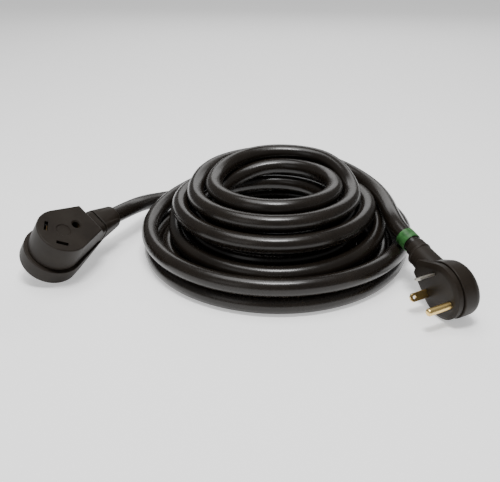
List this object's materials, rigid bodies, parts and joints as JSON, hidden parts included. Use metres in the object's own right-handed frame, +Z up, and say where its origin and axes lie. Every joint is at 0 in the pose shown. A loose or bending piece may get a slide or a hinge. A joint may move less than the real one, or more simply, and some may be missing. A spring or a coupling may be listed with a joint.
{
  "type": "shore power cord",
  "caption": "Coiled shore power cord for a caravan or motorhome, with a moulded offset plug at one end and a moulded offset connector at the other.",
  "frame": {"origin": "Centre of the part's box at its base, on the floor that the coil and both moulded ends rest on.", "axes": "+X runs to the right of the picture, from the connector towards the plug, and is the longest extent. +Y runs away from the camera. +Z is up and is the shortest extent."},
  "size_m": [0.4264, 0.3175, 0.0911],
  "materials": {
    "cord_jacket": "satin black jacket with a soft sheen",
    "moulded_black": "fine-grained satin black moulding",
    "insert_black": "plain moulded insulator",
    "blade_brass": "rolled brass, lightly polished",
    "blade_nickel": "nickel-plated blade",
    "contact_brass": "stamped brass contact",
    "crimp_tin": "tin-plated copper barrel",
    "band_green": "green inspection band",
    "insulation_black": "conductor insulation",
    "insulation_white": "conductor insulation",
    "insulation_green": "conductor insulation"
  },
  "bodies": {
    "root": {"cable_coil": "cord_jacket", "coil_core": "cord_jacket", "plug_lead": "cord_jacket", "connector_lead": "cord_jacket", "green_band": "band_green", "plug_front_body": "moulded_black", "plug_back_cover": "moulded_black", "plug_strain_relief": "moulded_black", "plug_insert": "insert_black", "plug_hot_blade": "blade_brass", "plug_neutral_blade": "blade_nickel", "plug_ground_pin": "blade_brass", "plug_hot_crimp": "crimp_tin", "plug_neutral_crimp": "crimp_tin", "plug_ground_crimp": "crimp_tin", "plug_hot_conductor": "insulation_black", "plug_neutral_conductor": "insulation_white", "plug_ground_conductor": "insulation_green", "connector_front_body": "moulded_black", "connector_back_cover": "moulded_black", "connector_strain_relief": "moulded_black", "connector_insert": "insert_black", "connector_hot_contact": "contact_brass", "connector_neutral_contact": "contact_brass", "connector_ground_contact": "contact_brass", "connector_hot_crimp": "crimp_tin", "connector_neutral_crimp": "crimp_tin", "connector_ground_crimp": "crimp_tin", "connector_hot_conductor": "insulation_black", "connector_neutral_conductor": "insulation_white", "connector_ground_conductor": "insulation_green"}
  },
  "joints": []
}
